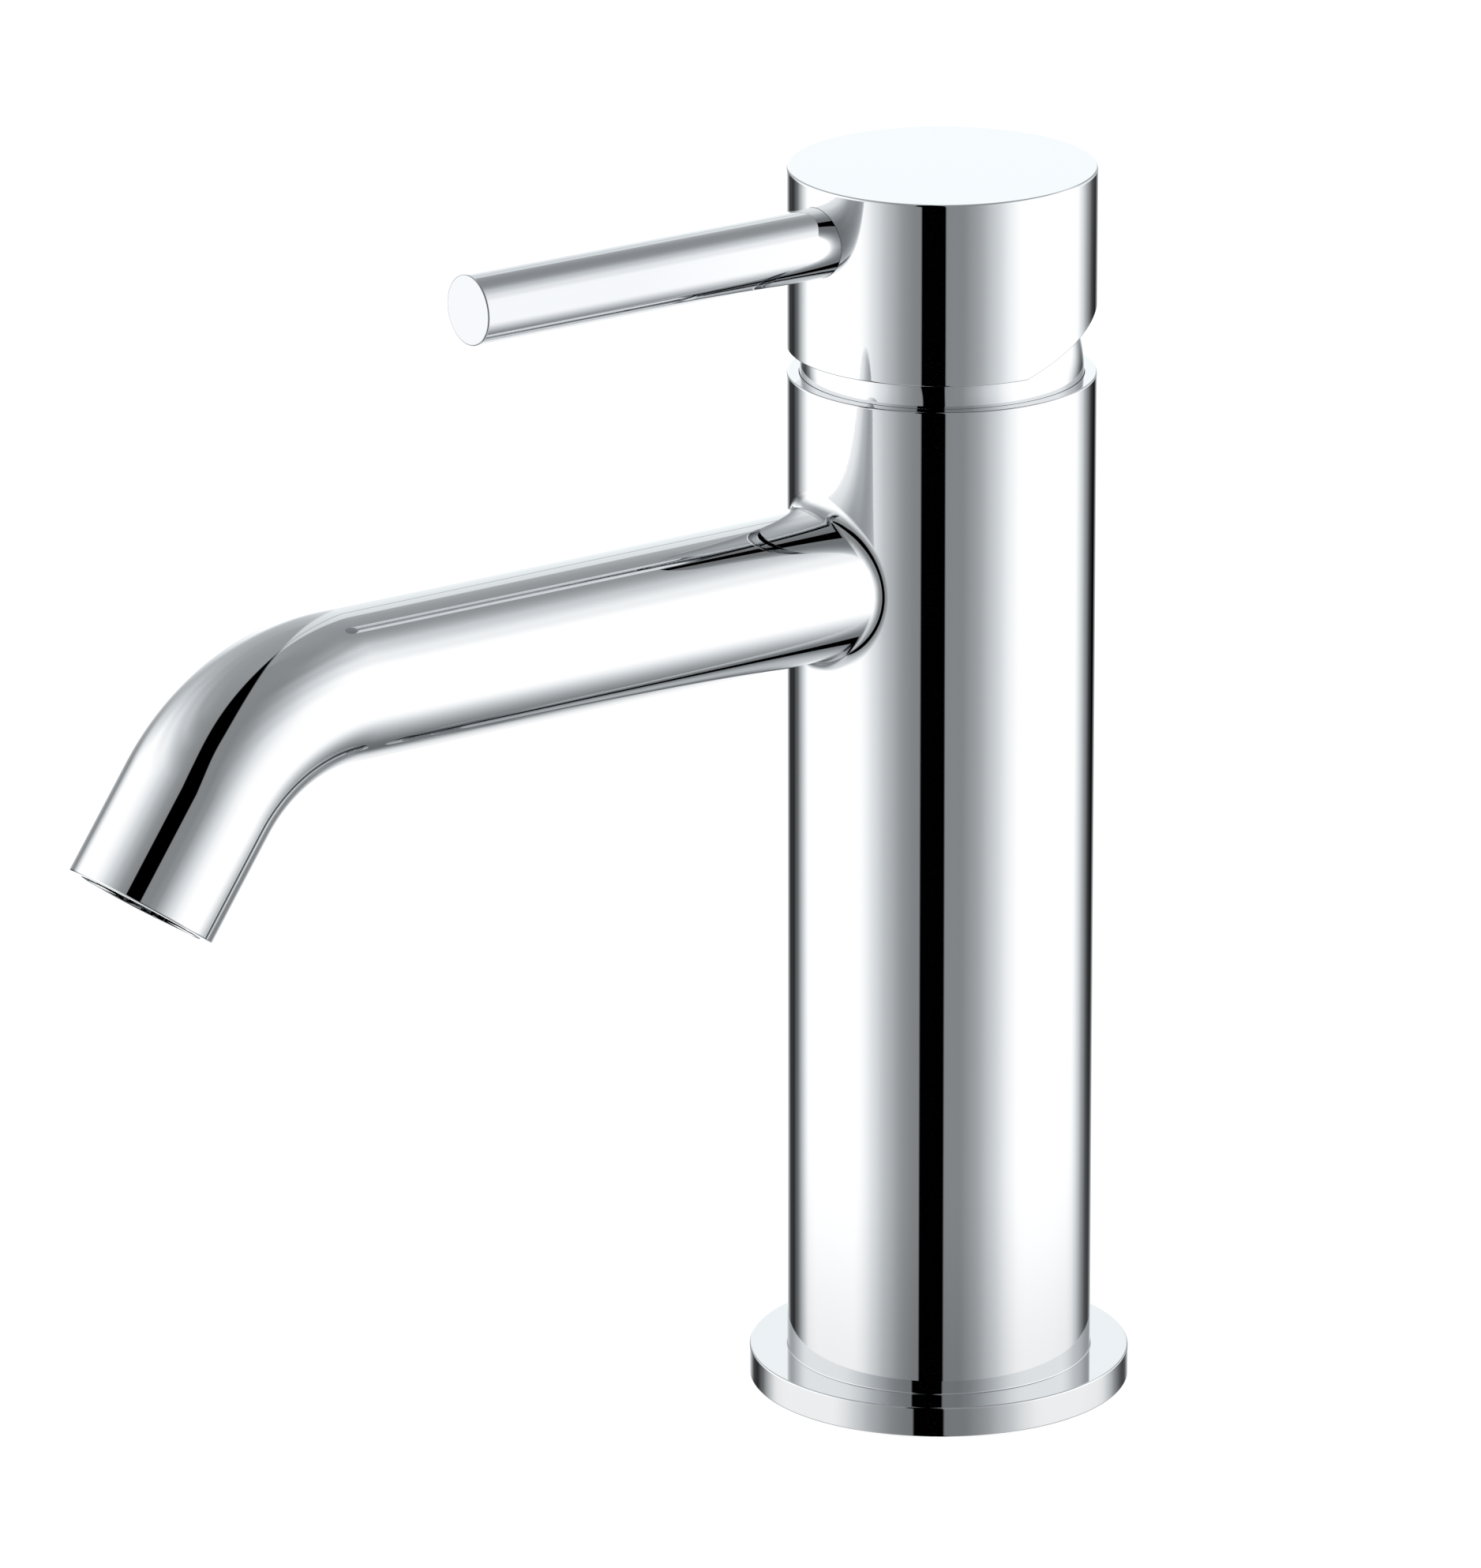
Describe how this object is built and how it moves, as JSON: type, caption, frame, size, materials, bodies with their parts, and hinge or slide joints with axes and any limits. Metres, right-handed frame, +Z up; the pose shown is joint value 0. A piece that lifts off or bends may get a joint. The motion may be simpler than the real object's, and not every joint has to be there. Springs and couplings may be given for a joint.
{
  "type": "bathroom mixer faucet",
  "caption": "Single-lever basin mixer: round column on a flange, a straight level spout bent down at its end, and a round cap with a rod lever that lifts and swivels.",
  "frame": {"origin": "centre of the flange's underside, on the deck", "axes": "+Z up along the column; the spout and the lever point to -Y; +X is to the right seen from behind the spout's end"},
  "size_m": [0.055, 0.1734, 0.1811],
  "materials": {
    "polished_chrome": "mirror-polished chromium plate on brass",
    "brass": "machined",
    "stainless_steel": "machined",
    "ceramic": "lapped alumina",
    "white_plastic": "moulded",
    "grey_plastic": "moulded",
    "red_plastic": "moulded",
    "black_rubber": "moulded"
  },
  "bodies": {
    "mixer": {"mixer_body": "polished_chrome", "spout": "polished_chrome", "waterway_core": "brass", "base_flange": "polished_chrome", "base_gasket": "black_rubber", "flange_o_ring": "black_rubber", "dome_cover": "polished_chrome", "dome_o_ring": "black_rubber", "retaining_nut": "brass", "cartridge_base": "white_plastic", "port_seals": "black_rubber", "cartridge_housing": "white_plastic", "disc_gasket": "black_rubber", "fixed_ceramic_disc": "ceramic", "temperature_limiter": "red_plastic", "aerator_housing": "polished_chrome", "aerator_diffuser": "grey_plastic", "flow_regulator": "grey_plastic", "regulator_o_ring": "black_rubber", "aerator_screen": "stainless_steel", "aerator_seal": "black_rubber"},
    "spindle": {"spindle_turret": "white_plastic", "stem_pin": "stainless_steel", "spindle_o_ring": "black_rubber"},
    "disc": {"disc_carrier": "white_plastic", "moving_ceramic_disc": "ceramic"},
    "handle": {"control_stem": "stainless_steel", "handle_cap": "polished_chrome", "lever_rod": "polished_chrome", "grub_screw": "stainless_steel", "screw_plug": "grey_plastic"}
  },
  "joints": [
    {"name": "handle_swivel", "type": "hinge", "parent": "mixer", "child": "spindle", "pos_m": [0, 0, 0.1511], "axis": [0, 0, 1], "range_deg": [-50, 50]},
    {"name": "handle_lift", "type": "hinge", "parent": "spindle", "child": "handle", "pos_m": [0, 0, 0.1511], "axis": [-1, 0, 0], "range_deg": [0, 25]},
    {"name": "disc_slide", "type": "slide", "parent": "spindle", "child": "disc", "axis": [0, -1, 0], "range_m": [0, 0.00284]}
  ],
  "couplings": [
    {"joint": "disc_slide", "follows": "handle_lift", "m_per_rad": 0.0064895}
  ]
}
